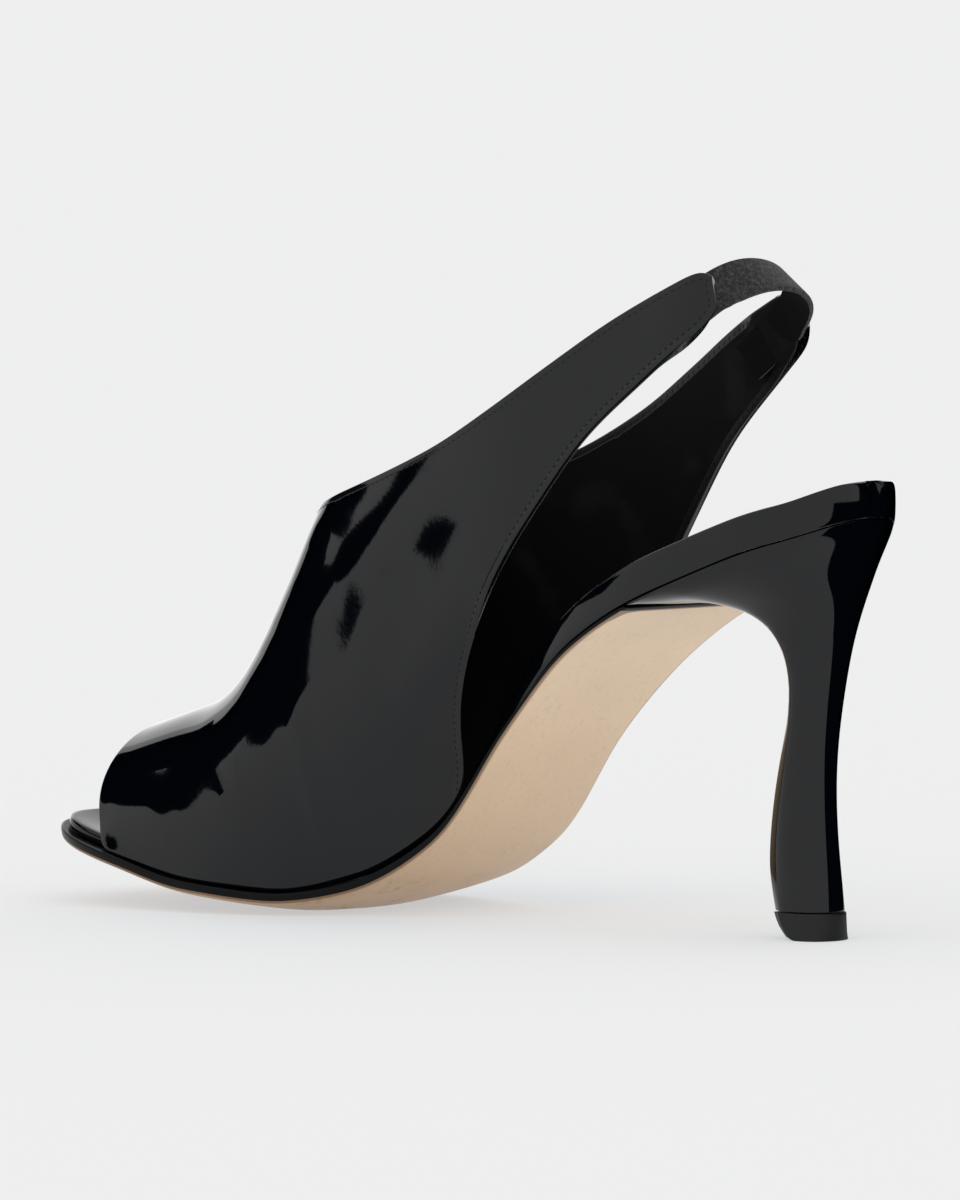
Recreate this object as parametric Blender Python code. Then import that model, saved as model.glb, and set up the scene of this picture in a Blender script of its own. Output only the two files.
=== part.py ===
"""Slingback sandal for the right foot, on a high sculpted heel.

Metres, +Z up. The toe points towards -Y and the wearer's left (the inner, medial side) is +X.
The origin is on the floor, under the middle of the shoe. Along the shoe, "at" is a share of
SHOE_LENGTH, counted from the back of the heel seat.
"""

import math
from bisect import bisect_right
from collections import namedtuple

import bmesh
import bpy
from mathutils import Vector

# Driving sizes of the last and the sole
SHOE_LENGTH = 0.2147
BALL_WIDTH = 0.0766
WAIST_WIDTH = 0.0450
HEEL_SEAT_WIDTH = 0.0505
HEEL_RISE = 0.0936
TOE_SPRING = 0.0154
TREAD_CROWN = 0.0042
TREAD_WEAR = 0.0006
WAIST_TWIST = 0.0029
SOLE_THICKNESS = 0.0030
SOLE_SHANK_THICKNESS = 0.0014
SOLE_RIM = 0.0018
SOLE_EDGE_ROUND = 0.0009
BREAST_AT = 0.228

# Driving sizes of the upper
UPPER_WALL = 0.0018
THROAT_HEIGHT = 0.0915
STRAP_END_HEIGHT = 0.1472
STRAP_END_FROM_BACK = 0.0290
STRAP_WIDTH = 0.0120
STRAP_END_LEAN = 0.0032
STRAP_CORNER = 0.0028
LATERAL_STRAP_DROP = 0.0045
LATERAL_STRAP_SHORT = 0.0042
BELLY_WIDTH = 0.0750
MOUTH_CORNER_AT = 0.889
MOUTH_TOP_AT = 0.915
VAMP_REAR_AT = 0.470

# Driving sizes of the insole, the elastic and the heel
INSOLE_HEEL_THICKNESS = 0.0077
INSOLE_TOE_THICKNESS = 0.0028
INSOLE_ROUND = 0.0013
ELASTIC_WIDTH = 0.0094
ELASTIC_THICKNESS = 0.0013
ELASTIC_TUCK = 0.0100
ELASTIC_REACH = 0.0140
ELASTIC_CLEARANCE = 0.0015
ELASTIC_LEAN = 0.30
ELASTIC_TURN = 0.06  # how far above its middle the strap is felt, as a turn on the last
HEEL_INSET = 0.0007
HEEL_LIP = 0.0014
HEEL_FRONT_LIP = 0.0005
TOP_LIFT_HEIGHT = 0.0060
TOP_LIFT_LIP = 0.0003
TOP_LIFT_UNDERCUT = 0.0050  # how far the front of its underside is worn back
GAP = 0.0003

# Mesh steps
STATIONS = 44
INSOLE_STATIONS = 52
TIP_CUT = 0.0005  # the plates end this share of the length before their outline closes
OUTLINE_STEP = 0.004
ACROSS = 8
VAMP_COLUMNS = 17
WAIST_COLUMNS = 8
STRAP_COLUMNS = 22
WALL_ROWS = 12
HEEL_SIDE_STEPS = 9
HEEL_FRONT_STEPS = 4
ELASTIC_STEPS = 26

# Centre line of the tread: shares of HEEL_RISE and of TOE_SPRING
Profile = namedtuple("Profile", "at rise spring")
PROFILE = (
    Profile(0.00, 0.980, 0.00),
    Profile(0.04, 0.938, 0.00),
    Profile(0.08, 0.908, 0.00),
    Profile(0.16, 0.838, 0.00),
    Profile(0.24, 0.760, 0.00),
    Profile(0.32, 0.650, 0.00),
    Profile(0.40, 0.476, 0.00),
    Profile(0.50, 0.186, 0.00),
    Profile(0.60, 0.042, 0.00),
    Profile(0.68, 0.000, 0.00),
    Profile(0.77, 0.000, 0.070),
    Profile(0.86, 0.000, 0.355),
    Profile(0.94, 0.000, 0.665),
    Profile(1.00, 0.000, 1.00),
)

# Outline of the sole on each side: half widths as shares of the named width in the row. Past the
# last row the outline closes round to the toe's tip.
Outline = namedtuple("Outline", "at width share")
MEDIAL_OUTLINE = (
    Outline(0.12, HEEL_SEAT_WIDTH, 0.487),
    Outline(0.21, HEEL_SEAT_WIDTH, 0.515),
    Outline(0.30, HEEL_SEAT_WIDTH, 0.475),
    Outline(0.40, WAIST_WIDTH, 0.430),
    Outline(0.49, WAIST_WIDTH, 0.405),
    Outline(0.60, BALL_WIDTH, 0.305),
    Outline(0.68, BALL_WIDTH, 0.430),
    Outline(0.76, BALL_WIDTH, 0.490),
    Outline(0.83, BALL_WIDTH, 0.500),
)
LATERAL_OUTLINE = (
    Outline(0.12, HEEL_SEAT_WIDTH, 0.474),
    Outline(0.22, HEEL_SEAT_WIDTH, 0.500),
    Outline(0.31, HEEL_SEAT_WIDTH, 0.510),
    Outline(0.40, WAIST_WIDTH, 0.560),
    Outline(0.50, WAIST_WIDTH, 0.645),
    Outline(0.60, BALL_WIDTH, 0.443),
    Outline(0.68, BALL_WIDTH, 0.492),
    Outline(0.74, BALL_WIDTH, 0.500),
)
CROWN_FROM = 0.30  # the tread's crown begins here, and is full at the second place
CROWN_FULL = 0.55
TWIST_AT = 0.45  # middle and reach of the waist's twist, and the x that it turns about
TWIST_REACH = 0.14
TWIST_PIVOT = 0.3
SHANK_END = 0.40  # the sole is thin up to here and has its full thickness from BALL_START
BALL_START = 0.62
PAD_END = 0.18  # the insole has its heel thickness up to here and its toe thickness from PAD_OUT
PAD_OUT = 0.52
TOE_TIP_OFFSET = 0.070  # share of BALL_WIDTH, towards the medial side
TOE_SQUARENESS = {1: 2.8, -1: 2.0}
CORNER_CURL = 7  # how quickly the mouth's edge leaves its corner at the sole

# The last above the sole: ridge height as a share of THROAT_HEIGHT, widest half width above the
# sole as a share of BELLY_WIDTH, and the ridge's sideways place as a share of BALL_WIDTH
Last = namedtuple("Last", "at ridge belly_medial belly_lateral ridge_side")
LAST = (
    Last(0.130, 1.80, 0.290, 0.290, 0.00),
    Last(0.155, 1.80, 0.370, 0.370, 0.00),
    Last(0.175, 1.81, 0.388, 0.388, 0.00),
    Last(0.230, 1.84, 0.398, 0.398, 0.00),
    Last(0.310, 1.92, 0.422, 0.432, 0.00),
    Last(0.390, 1.96, 0.440, 0.464, 0.00),
    Last(0.465, 1.88, 0.440, 0.470, 0.00),
    Last(0.530, 1.61, 0.455, 0.475, 0.01),
    Last(0.605, 1.315, 0.475, 0.485, 0.02),
    Last(0.665, 1.07, 0.490, 0.500, 0.03),
    Last(0.700, 0.875, 0.495, 0.500, 0.03),
    Last(0.735, 0.71, 0.498, 0.495, 0.04),
    Last(0.770, 0.605, 0.498, 0.485, 0.04),
    Last(0.810, 0.53, 0.492, 0.455, 0.05),
    Last(0.860, 0.485, 0.470, 0.400, 0.05),
    Last(0.920, 0.44, 0.430, 0.320, 0.05),
    Last(1.000, 0.36, 0.360, 0.250, 0.05),
)
BELLY_AT = 0.20  # share of the height where the wall reaches its full width
SHOULDER = 2.2  # how square the sections are

# Edges of the upper seen from the side. "along" is a share of the way from the named front
# point to the strap end, "up" a share of the climb between the same two.
Edge = namedtuple("Edge", "along up")
COLLAR = (
    Edge(0.000, 0.000),
    Edge(0.039, 0.055),
    Edge(0.102, 0.100),
    Edge(0.194, 0.155),
    Edge(0.291, 0.221),
    Edge(0.408, 0.313),
    Edge(0.553, 0.467),
    Edge(0.690, 0.641),
    Edge(0.825, 0.815),
    Edge(1.000, 1.000),
)
REAR_EDGE = (
    Edge(0.000, 0.000),
    Edge(0.045, 0.134),
    Edge(0.112, 0.248),
    Edge(0.204, 0.363),
    Edge(0.317, 0.502),
    Edge(0.446, 0.628),
    Edge(0.600, 0.762),
    Edge(0.803, 0.886),
    Edge(1.000, 1.000),
)
THROAT_AT = 0.684
COLLAR_AT_VAMP_REAR = 0.36  # share of the collar that the column over the vamp's rear corner meets
COLUMN_UNDER_THROAT = 0.30  # foot of the throat's column, from under the throat to the rear corner
STRAP_SPACING = 1.35  # above 1 the strap's columns stand closer at its end
CORNER_DRAW = 0.9  # how much of the round corner each end of a column takes

# Layers of the plates from the underside up: inset as a share of the plate's own rounding, height
# as a share of its thickness, and how many roundings lower than that
Layer = namedtuple("Layer", "inset up below")
OUTSOLE_LAYERS = (
    Layer(1.00, 0.00, 0.0),
    Layer(0.15, 0.30, 0.0),
    Layer(0.00, 0.75, 0.0),
    Layer(0.30, 1.00, 0.0),
)
INSOLE_LAYERS = (
    Layer(0.35, 0.00, 0.0),
    Layer(0.00, 0.12, 0.0),
    Layer(0.00, 1.00, 1.0),
    Layer(0.30, 1.00, 0.3),
    Layer(1.00, 1.00, 0.0),
)

# How far the insole's edge stands in from the sole's, as a share of the vamp's own inset
Inset = namedtuple("Inset", "at share")
INSOLE_INSET = (
    Inset(0.00, 0.00),
    Inset(0.36, 0.00),
    Inset(0.45, 1.00),
    Inset(0.73, 1.00),
    Inset(0.81, 1.35),
    Inset(0.90, 1.35),
    Inset(0.97, 0.50),
    Inset(1.00, 0.50),
)

# Heel rings from the seat down: back and front as shares of SHOE_LENGTH, heights as shares of
# HEEL_RISE, half width as a share of HEEL_SEAT_WIDTH, and how round the ring's corners are
Ring = namedtuple("Ring", "back back_up front front_up half_width roundness")
HEEL_RINGS = (
    Ring(0.0105, 0.925, 0.2180, 0.774, 0.455, 0.15),
    Ring(0.0160, 0.880, 0.1960, 0.777, 0.395, 0.35),
    Ring(0.0205, 0.830, 0.1680, 0.779, 0.320, 0.55),
    Ring(0.0275, 0.770, 0.1395, 0.767, 0.240, 0.80),
    Ring(0.0335, 0.710, 0.1180, 0.732, 0.180, 1.00),
    Ring(0.0392, 0.650, 0.1020, 0.675, 0.145, 1.00),
    Ring(0.0452, 0.570, 0.0955, 0.590, 0.122, 1.00),
    Ring(0.0508, 0.480, 0.1010, 0.480, 0.112, 1.00),
    Ring(0.0535, 0.385, 0.1100, 0.385, 0.111, 1.00),
    Ring(0.0527, 0.290, 0.1160, 0.290, 0.116, 1.00),
    Ring(0.0495, 0.195, 0.1185, 0.195, 0.124, 1.00),
    Ring(0.0465, 0.140, 0.1160, 0.140, 0.130, 1.00),
)
HEEL_FOOT = Ring(0.0440, 0.0, 0.1092, 0.0, 0.136, 1.00)
RING_WIDEST = 0.62  # share of a ring's length behind its widest place
RING_CORNER = 0.78  # its front corners begin here
RING_NARROWING = 0.30  # and a fully round ring is this much narrower at its front

# The top lift from its upper face down: height and undercut as shares of their full sizes
Wear = namedtuple("Wear", "height cut")
TOP_LIFT_WEAR = (
    Wear(1.00, 0.00),
    Wear(0.48, 0.25),
    Wear(0.12, 0.65),
    Wear(0.00, 1.00),
)


def smooth(rows, column, at):
    """Value of a table column at a place, on a smooth curve that never overshoots its rows."""
    xs = [row.at for row in rows]
    ys = [getattr(row, column) for row in rows]
    return monotone(xs, ys, at)


def monotone(xs, ys, x, level_start=False):
    """Monotone cubic through the points (xs, ys). level_start gives its start no slope."""
    last = len(xs) - 1
    x = min(max(x, xs[0]), xs[-1])
    i = min(max(bisect_right(xs, x) - 1, 0), last - 1)
    steps = [xs[k + 1] - xs[k] for k in range(last)]
    slopes = [(ys[k + 1] - ys[k]) / steps[k] for k in range(last)]

    def tangent(k):
        if k == 0:
            return 0.0 if level_start else slopes[0]
        if k == last:
            return slopes[-1]
        a, b = slopes[k - 1], slopes[k]
        if a * b <= 0.0:
            return 0.0
        wa = 2.0 * steps[k] + steps[k - 1]
        wb = steps[k] + 2.0 * steps[k - 1]
        return (wa + wb) / (wa / a + wb / b)

    h = steps[i]
    t = (x - xs[i]) / h
    rise = ys[i + 1] - ys[i]
    m0 = tangent(i) * h
    m1 = tangent(i + 1) * h
    return ys[i] + t * (m0 + t * (3.0 * rise - 2.0 * m0 - m1 + t * (m0 + m1 - 2.0 * rise)))


def mix(a, b, t):
    return a + (b - a) * t


def ease(t):
    t = min(max(t, 0.0), 1.0)
    return t * t * (3.0 - 2.0 * t)


def ramp(at, start, end):
    """0 up to start, 1 from end on, and an easy curve between them."""
    return ease((at - start) / (end - start))


def half_width(at, side):
    """Half width of the sole on one side, +1 for medial and -1 for lateral."""
    rows = MEDIAL_OUTLINE if side > 0 else LATERAL_OUTLINE
    first, last = rows[0].at, rows[-1].at
    base = monotone([row.at for row in rows], [row.width * row.share for row in rows], at)
    if at < first:
        base *= math.sqrt(max(1.0 - ((first - at) / first) ** 2, 0.0))
    if at > last:
        power = TOE_SQUARENESS[side]
        run = min((at - last) / (1.0 - last), 1.0)
        close = (1.0 - run ** power) ** (1.0 / power)
        base = mix(side * TOE_TIP_OFFSET * BALL_WIDTH, base, close)
    return base


def tread(at, x):
    """Height of the sole's underside."""
    rise = HEEL_RISE * smooth(PROFILE, "rise", at)
    spring = TOE_SPRING * smooth(PROFILE, "spring", at)
    crown = TREAD_CROWN * ramp(at, CROWN_FROM, CROWN_FULL) * (2.0 * x / BALL_WIDTH) ** 2
    bell = math.exp(-(((at - TWIST_AT) / TWIST_REACH) ** 2))
    twist = WAIST_TWIST * bell * (x / WAIST_WIDTH - TWIST_PIVOT)
    return max(rise + spring + crown + twist - TREAD_WEAR, 0.0)


def upright(at):
    """Vertical size of a layer one unit thick, where the sole climbs towards the heel."""
    step = 0.01
    rise = HEEL_RISE * (smooth(PROFILE, "rise", at - step) - smooth(PROFILE, "rise", at + step))
    return math.hypot(rise / (2.0 * step * SHOE_LENGTH), 1.0)


def sole_thickness(at):
    share = ramp(at, SHANK_END, BALL_START)
    return upright(at) * mix(SOLE_SHANK_THICKNESS, SOLE_THICKNESS, share)


def feather(at, x):
    """Height of the sole's upper face, which the insole, the upper and the heel meet."""
    return tread(at, x) + sole_thickness(at)


def place(at, x, z):
    return Vector((x, SHOE_LENGTH * (0.5 - at), z))


def outline_point(at, side, inset):
    """Point of the sole's outline, moved in along the outline's own normal: (at, x)."""
    a0 = max(at - OUTLINE_STEP, 0.0)
    a1 = min(at + OUTLINE_STEP, 1.0)
    dy = (a1 - a0) * SHOE_LENGTH
    dx = half_width(a1, side) - half_width(a0, side)
    size = math.hypot(dx, dy)
    move_in = inset * dy / size
    move_along = inset * dx / size
    x = side * max(half_width(at, side) - move_in, 0.0)
    return at + move_along / SHOE_LENGTH, x


def plate_ring(at, inset_of, layers, across):
    """One closed section of a plate. layers: (extra inset, height function), bottom to top."""
    edges = {}
    for side in (1, -1):
        edges[side] = []
        for extra, height in layers:
            a, x = outline_point(at, side, inset_of(at) + extra)
            edges[side].append((a, x, height))
    ring = []
    for a, x, height in edges[1]:
        ring.append(place(a, x, height(a, x)))
    ring += span(edges[1][-1], edges[-1][-1], across)
    for a, x, height in reversed(edges[-1]):
        ring.append(place(a, x, height(a, x)))
    ring += span(edges[-1][0], edges[1][0], across)
    return ring


def span(start, end, across):
    """Inner points of a straight crossing between two edge points, laid on the start's surface."""
    points = []
    for k in range(1, across):
        t = k / across
        a = mix(start[0], end[0], t)
        x = mix(start[1], end[1], t)
        points.append(place(a, x, start[2](a, x)))
    return points


def end_spaced(first, last, count, ease_first=True, ease_last=True):
    """Shares between first and last, closer together at the ends that are rounded."""
    values = []
    for k in range(count + 1):
        t = k / count
        if ease_first and ease_last:
            t = 0.5 - 0.5 * math.cos(math.pi * t)
        elif ease_last:
            t = math.sin(0.5 * math.pi * t)
        elif ease_first:
            t = 1.0 - math.cos(0.5 * math.pi * t)
        values.append(mix(first, last, t))
    return values


def loft(bm, rings, ruled_start=0):
    """Closed body through rings of equal length, capped at both ends.

    ruled_start is the number of steps on each long side of the first ring, where its cap is
    ruled straight across from side to side instead of being one flat face.
    """
    loops = [[bm.verts.new(point) for point in ring] for ring in rings]
    for one, two in zip(loops, loops[1:]):
        count = len(one)
        for k in range(count):
            n = (k + 1) % count
            bm.faces.new((one[k], one[n], two[n], two[k]))
    first = loops[0]
    for k in range(1, ruled_start):
        bm.faces.new((first[k], first[-k], first[-k - 1], first[k + 1]))
    if ruled_start:
        bm.faces.new((first[0], first[-1], first[1]))
        bm.faces.new(first[ruled_start:len(first) - ruled_start + 1])
    else:
        bm.faces.new(list(reversed(first)))
    bm.faces.new(loops[-1])


def finish(bm, name, material, sharp_angle=40.0):
    """Turn a bmesh into a named object with its faces outward and one material."""
    bmesh.ops.remove_doubles(bm, verts=bm.verts, dist=0.00001)
    bmesh.ops.dissolve_degenerate(bm, edges=bm.edges, dist=0.00001)
    bmesh.ops.triangulate(bm, faces=bm.faces)
    bmesh.ops.recalc_face_normals(bm, faces=bm.faces)
    mesh = bpy.data.meshes.new(name)
    bm.to_mesh(mesh)
    bm.free()
    mesh.shade_smooth()
    mesh.set_sharp_from_angle(angle=math.radians(sharp_angle))
    mesh.materials.append(material)
    obj = bpy.data.objects.new(name, mesh)
    bpy.context.scene.collection.objects.link(obj)
    return obj


def make_material(name, color, roughness, metallic=0.0):
    material = bpy.data.materials.new(name)
    material.use_nodes = True
    shader = material.node_tree.nodes["Principled BSDF"]
    shader.inputs["Base Color"].default_value = (*color, 1.0)
    shader.inputs["Roughness"].default_value = roughness
    shader.inputs["Metallic"].default_value = metallic
    return material


def plate_layers(rows, rounding, floor, thickness):
    """Layers for plate_ring from a table: (extra inset, height function) each."""
    layers = []
    for row in rows:
        def height(a, x, row=row):
            return floor(a, x) + row.up * thickness(a) - row.below * rounding
        layers.append((row.inset * rounding, height))
    return layers


def make_outsole(material):
    """Leather sole from the toe to the heel breast, with a rounded edge."""
    layers = plate_layers(OUTSOLE_LAYERS, SOLE_EDGE_ROUND, tread, sole_thickness)
    bm = bmesh.new()
    start = BREAST_AT + 0.5 * GAP / SHOE_LENGTH
    stations = end_spaced(start, 1.0 - TIP_CUT, STATIONS, ease_first=False)
    loft(bm, [plate_ring(at, lambda a: 0.0, layers, ACROSS) for at in stations])
    return finish(bm, "outsole", material)


def insole_thickness(at):
    share = ramp(at, PAD_END, PAD_OUT)
    return upright(at) * mix(INSOLE_HEEL_THICKNESS, INSOLE_TOE_THICKNESS, share)


def vamp_inset():
    """Inset of the insole's edge where the vamp stands between it and the sole's rim."""
    return SOLE_RIM + UPPER_WALL + GAP


def make_insole(material):
    """Wrapped insole board, with rounded upper and lower edges."""
    def floor(a, x):
        return feather(a, x) + GAP

    def inset(at):
        return vamp_inset() * smooth(INSOLE_INSET, "share", at)

    layers = plate_layers(INSOLE_LAYERS, INSOLE_ROUND, floor, insole_thickness)
    bm = bmesh.new()
    stations = end_spaced(2.0 * TIP_CUT, 1.0 - 2.0 * TIP_CUT, INSOLE_STATIONS)
    loft(bm, [plate_ring(at, inset, layers, ACROSS) for at in stations])
    return finish(bm, "insole", material)


def ridge_height(at):
    return THROAT_HEIGHT * smooth(LAST, "ridge", at)


def wall_foot(at, side):
    """Where the upper's outer face meets the sole: (x, z)."""
    x = side * (half_width(at, side) - SOLE_RIM)
    return x, feather(at, x) + GAP


def last_point(at, turn, side):
    """Point of the last. turn runs from 0 at the sole to 1 on the ridge."""
    angle = 0.5 * math.pi * turn
    up = math.sin(angle) ** (2.0 / SHOULDER)
    foot_x, foot_z = wall_foot(at, side)
    column = "belly_medial" if side > 0 else "belly_lateral"
    belly = side * BELLY_WIDTH * smooth(LAST, column, at)
    ridge_x = BALL_WIDTH * smooth(LAST, "ridge_side", at)
    widest = mix(foot_x, belly, ease(up / BELLY_AT))
    x = mix(ridge_x, widest, math.cos(angle))
    z = mix(foot_z, ridge_height(at), up)
    return place(at, x, z)


def turn_at_height(at, z, side):
    """The turn at which the last stands at height z."""
    foot_z = wall_foot(at, side)[1]
    up = min(max((z - foot_z) / (ridge_height(at) - foot_z), 0.0), 1.0)
    return math.asin(up ** (0.5 * SHOULDER)) / (0.5 * math.pi)


def edge_point(rows, share, start, end, level_start):
    """Point of an edge seen from the side. start and end are (at, z)."""
    count = len(rows) - 1
    xs = [k / count for k in range(count + 1)]
    along = monotone(xs, [row.along for row in rows], share, level_start)
    up = monotone(xs, [row.up for row in rows], share, level_start)
    return mix(start[0], end[0], along), mix(start[1], end[1], up)


def strap_end(side):
    """Top corner and bottom corner of a strap's end, seen from the side: (at, z) each."""
    back = STRAP_END_FROM_BACK
    height = STRAP_END_HEIGHT
    if side < 0:
        back += LATERAL_STRAP_SHORT
        height -= LATERAL_STRAP_DROP
    climb = math.sqrt(STRAP_WIDTH ** 2 - STRAP_END_LEAN ** 2)
    top = ((back + STRAP_END_LEAN) / SHOE_LENGTH, height)
    bottom = (back / SHOE_LENGTH, height - climb)
    return top, bottom


def collar_point(share, side):
    """Collar at a share of its length: (at, turn)."""
    throat = (THROAT_AT, ridge_height(THROAT_AT))
    at, z = edge_point(COLLAR, share, throat, strap_end(side)[0], True)
    return at, turn_at_height(at, z, side)


def rear_point(share, side):
    """Rear edge of the side panel and lower edge of its strap: (at, turn)."""
    corner = (VAMP_REAR_AT, wall_foot(VAMP_REAR_AT, side)[1])
    at, z = edge_point(REAR_EDGE, share, corner, strap_end(side)[1], False)
    return at, turn_at_height(at, z, side)


def wall_columns(side):
    """Lower and upper ends (at, turn) of every column of the wall, from the mouth to the strap."""
    columns = []
    under_throat = mix(THROAT_AT, VAMP_REAR_AT, COLUMN_UNDER_THROAT)
    for k in range(VAMP_COLUMNS + 1):
        t = k / VAMP_COLUMNS
        low = (mix(MOUTH_CORNER_AT, under_throat, t), 0.0)
        high = (mix(MOUTH_TOP_AT, THROAT_AT, t), 1.0)
        columns.append((low, high))
    for k in range(1, WAIST_COLUMNS + 1):
        t = k / WAIST_COLUMNS
        low = (mix(under_throat, VAMP_REAR_AT, t), 0.0)
        columns.append((low, collar_point(COLLAR_AT_VAMP_REAR * t, side)))
    for k in range(1, STRAP_COLUMNS + 1):
        t = k / STRAP_COLUMNS
        t = 1.0 - (1.0 - t) ** STRAP_SPACING
        low = rear_point(t, side)
        high = collar_point(mix(COLLAR_AT_VAMP_REAR, 1.0, t), side)
        columns.append(round_off(low, high, (1.0 - t) * strap_run(side)))
    return columns


def strap_run(side):
    """Length of the part that the strap columns cover."""
    return SHOE_LENGTH * (VAMP_REAR_AT - strap_end(side)[1][0])


def round_off(low, high, from_end):
    """Round the corners of the strap's end by drawing a column's two ends together."""
    if from_end >= STRAP_CORNER:
        return low, high
    cut = STRAP_CORNER - math.sqrt(max(STRAP_CORNER ** 2 - (STRAP_CORNER - from_end) ** 2, 0.0))
    share = CORNER_DRAW * cut / STRAP_WIDTH
    new_low = tuple(mix(a, b, share) for a, b in zip(low, high))
    new_high = tuple(mix(b, a, share) for a, b in zip(low, high))
    return new_low, new_high


def wall_point(columns, column, row, side):
    """Point of the wall's outer face at a column and a row."""
    low, high = columns[column]
    t = row / WALL_ROWS
    at = mix(low[0], high[0], t)
    turn = mix(low[1], high[1], t)
    if column <= VAMP_COLUMNS:
        curled = 1.0 - (1.0 - t) ** CORNER_CURL
        even = math.sin(0.5 * math.pi * t) ** 2
        at = mix(low[0], high[0], mix(curled, even, column / VAMP_COLUMNS))
    return last_point(at, turn, side)


def make_upper(material):
    """Vamp and straps: one sheet on the last, thickened inwards."""
    bm = bmesh.new()
    grids = {}
    ridge = {}
    for side in (1, -1):
        columns = wall_columns(side)
        grid = []
        for c in range(len(columns)):
            line = []
            for r in range(WALL_ROWS + 1):
                shared = r == WALL_ROWS and c <= VAMP_COLUMNS
                if shared and c in ridge:
                    line.append(ridge[c])
                    continue
                vert = bm.verts.new(wall_point(columns, c, r, side))
                if shared:
                    ridge[c] = vert
                line.append(vert)
            grid.append(line)
        grids[side] = grid
    for side, grid in grids.items():
        for one, two in zip(grid, grid[1:]):
            for r in range(WALL_ROWS):
                face = (one[r], two[r], two[r + 1], one[r + 1])
                bm.faces.new(face if side > 0 else tuple(reversed(face)))
    bmesh.ops.recalc_face_normals(bm, faces=bm.faces)
    faces = list(bm.faces)
    bmesh.ops.solidify(bm, geom=faces, thickness=UPPER_WALL)
    for vert in bm.verts:
        at = 0.5 - vert.co.y / SHOE_LENGTH
        floor = feather(at, vert.co.x) + GAP
        vert.co.z = max(vert.co.z, floor)
    return finish(bm, "upper", material, sharp_angle=50.0)


def inward(at, turn, side, depth):
    """Point at a depth behind the last's surface, and the directions along and up the strap."""
    step = 0.002
    here = last_point(at, turn, side)
    along = (last_point(at - step, turn, side) - here).normalized()
    up = (last_point(at, turn + step, side) - here).normalized()
    normal = along.cross(up).normalized()
    if normal.x * side > 0.0:
        normal = -normal
    return here + normal * depth, normal


def strap_middle(from_end, side):
    """Middle of the strap at a distance from its end: (at, turn)."""
    t = 1.0 - from_end / strap_run(side)
    low = rear_point(t, side)
    high = collar_point(mix(COLLAR_AT_VAMP_REAR, 1.0, t), side)
    return tuple(mix(a, b, 0.5) for a, b in zip(low, high))


def elastic_frame(from_end, side):
    """Centre of the tucked elastic and its upward direction."""
    depth = UPPER_WALL + ELASTIC_CLEARANCE + 0.5 * ELASTIC_THICKNESS
    at, turn = strap_middle(from_end, side)
    point, normal = inward(at, turn, side, depth)
    turn_above = turn + ELASTIC_TURN
    above = inward(at, turn_above, side, depth)[1]
    normal = (normal + above).normalized()
    next_at, next_turn = strap_middle(from_end + 0.001, side)
    ahead = inward(next_at, next_turn, side, depth)[0]
    run = (point - ahead).normalized()
    up = run.cross(normal).normalized()
    if up.z < 0.0:
        up = -up
    return point, run, up


def make_elastic(material):
    """Flat elastic: tucked behind both strap ends and bowed round the back."""
    tucked = 6
    path = []
    for k in range(tucked + 1):
        point, run, up = elastic_frame(ELASTIC_TUCK * (1.0 - k / tucked), 1)
        path.append((point, run, up))
    start, start_run, start_up = path[-1]
    end, end_run, end_up = elastic_frame(0.0, -1)
    handles = (start, start + start_run * ELASTIC_REACH, end + end_run * ELASTIC_REACH, end)
    for k in range(1, ELASTIC_STEPS):
        t = k / ELASTIC_STEPS
        s = 1.0 - t
        weights = (s ** 3, 3 * s * s * t, 3 * s * t * t, t ** 3)
        slopes = (-3 * s * s, 3 * s * s - 6 * s * t, 6 * s * t - 3 * t * t, 3 * t * t)
        point = sum((h * w for h, w in zip(handles, weights)), Vector())
        run = sum((h * w for h, w in zip(handles, slopes)), Vector()).normalized()
        up = start_up.lerp(end_up, ease(t))
        up = up + Vector((0.0, -ELASTIC_LEAN * math.sin(math.pi * t), 0.0))
        up = (up - run * up.dot(run)).normalized()
        path.append((point, run, up))
    for k in range(tucked + 1):
        point, run, up = elastic_frame(ELASTIC_TUCK * k / tucked, -1)
        path.append((point, -run, up))
    rings = []
    for point, run, up in path:
        out = run.cross(up).normalized() * (0.5 * ELASTIC_THICKNESS)
        ring = []
        for k in range(5):
            rise = up * (ELASTIC_WIDTH * (k / 4 - 0.5))
            ring.append(point + rise + out)
        for k in range(5):
            rise = up * (ELASTIC_WIDTH * (0.5 - k / 4))
            ring.append(point + rise - out)
        rings.append(ring)
    bm = bmesh.new()
    loft(bm, rings)
    return finish(bm, "elastic_strap", material)


def heel_ring(row, width_of, height_of):
    """One ring of the heel: round at the back, square in front, from the medial side round."""
    medial = []
    lateral = []
    for k in range(HEEL_SIDE_STEPS + 1):
        t = 1.0 - math.cos(0.5 * math.pi * k / HEEL_SIDE_STEPS)
        at = mix(row.back, row.front, t)
        for side, points in ((1, medial), (-1, lateral)):
            x = side * width_of(row, at, t, side)
            points.append(place(at, x, height_of(row, at, x, t)))
    front = []
    for k in range(1, HEEL_FRONT_STEPS):
        front.append(medial[-1].lerp(lateral[-1], k / HEEL_FRONT_STEPS))
    return medial + front + list(reversed(lateral[1:]))


def leg_width(row, at, t, side):
    """Half width of a ring below the seat."""
    full = row.half_width * HEEL_SEAT_WIDTH
    round_back = math.sqrt(max(1.0 - (1.0 - min(t / RING_WIDEST, 1.0)) ** 2, 0.0))
    past = max((t - RING_CORNER) / (1.0 - RING_CORNER), 0.0)
    corner = 1.0 - RING_NARROWING * row.roundness * past ** 2
    return full * round_back * corner


def leg_height(row, at, x, t):
    return HEEL_RISE * mix(row.back_up, row.front_up, t)


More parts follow.
